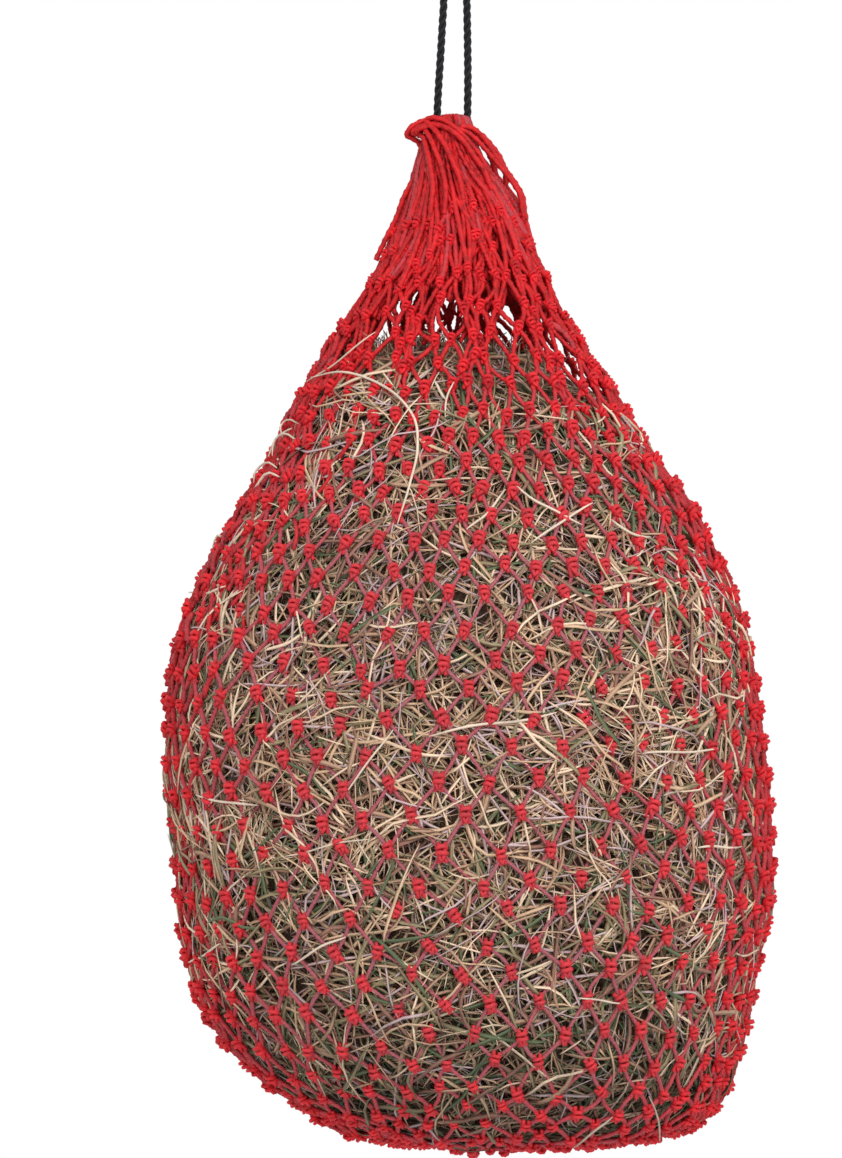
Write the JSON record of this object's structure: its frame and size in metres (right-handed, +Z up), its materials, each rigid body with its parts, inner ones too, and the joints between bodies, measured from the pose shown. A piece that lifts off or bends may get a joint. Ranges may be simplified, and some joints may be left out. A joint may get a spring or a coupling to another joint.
{
  "type": "hay net",
  "caption": "Knotted small-mesh net bag packed with hay, gathered at the mouth on a cord ring and hung by a doubled draw cord with a tied eye.",
  "frame": {"origin": "the hanging point: the inside top of the draw cord's hanging loop, where a hook or tie ring carries it", "axes": "+Z up, -Y the front (the side seen first), +X the right-hand side seen from the front"},
  "size_m": [0.4648, 0.4171, 1.0163],
  "materials": {
    "draw_cord": "satin",
    "net_twine": "satin",
    "lacing_twine": "satin",
    "hay": "matte"
  },
  "bodies": {
    "hanging_loop": {"hanging_loop": "draw_cord"},
    "loop_knot": {"loop_knot": "draw_cord"},
    "cord_tails": {"cord_tail_left": "draw_cord", "cord_tail_right": "draw_cord"},
    "net_bag": {"cord_run_left": "draw_cord", "cord_run_right": "draw_cord", "mouth_cord_ring": "draw_cord", "mouth_loops": "net_twine", "mouth_tie_loop": "net_twine", "net_neck": "net_twine", "net_upper": "net_twine", "net_middle": "net_twine", "net_lower": "net_twine", "net_base": "net_twine", "side_lacing": "lacing_twine", "base_gather_cord": "lacing_twine", "base_knot": "lacing_twine", "hay_crown": "hay", "hay_upper": "hay", "hay_middle": "hay", "hay_lower": "hay", "hay_base": "hay"}
  },
  "joints": [
    {"name": "swing_sideways", "type": "hinge", "parent": "hanging_loop", "child": "loop_knot", "pos_m": [-0.002, 0, -0.085], "axis": [0, 1, 0], "range_deg": [-30, 30]},
    {"name": "bag_turn", "type": "hinge", "parent": "loop_knot", "child": "cord_tails", "pos_m": [-0.002, 0, -0.085], "axis": [0, 0, 1], "range_deg": [-90, 90]},
    {"name": "swing_fore_aft", "type": "hinge", "parent": "cord_tails", "child": "net_bag", "pos_m": [-0.002, 0, -0.085], "axis": [1, 0, 0], "range_deg": [-30, 30]}
  ]
}
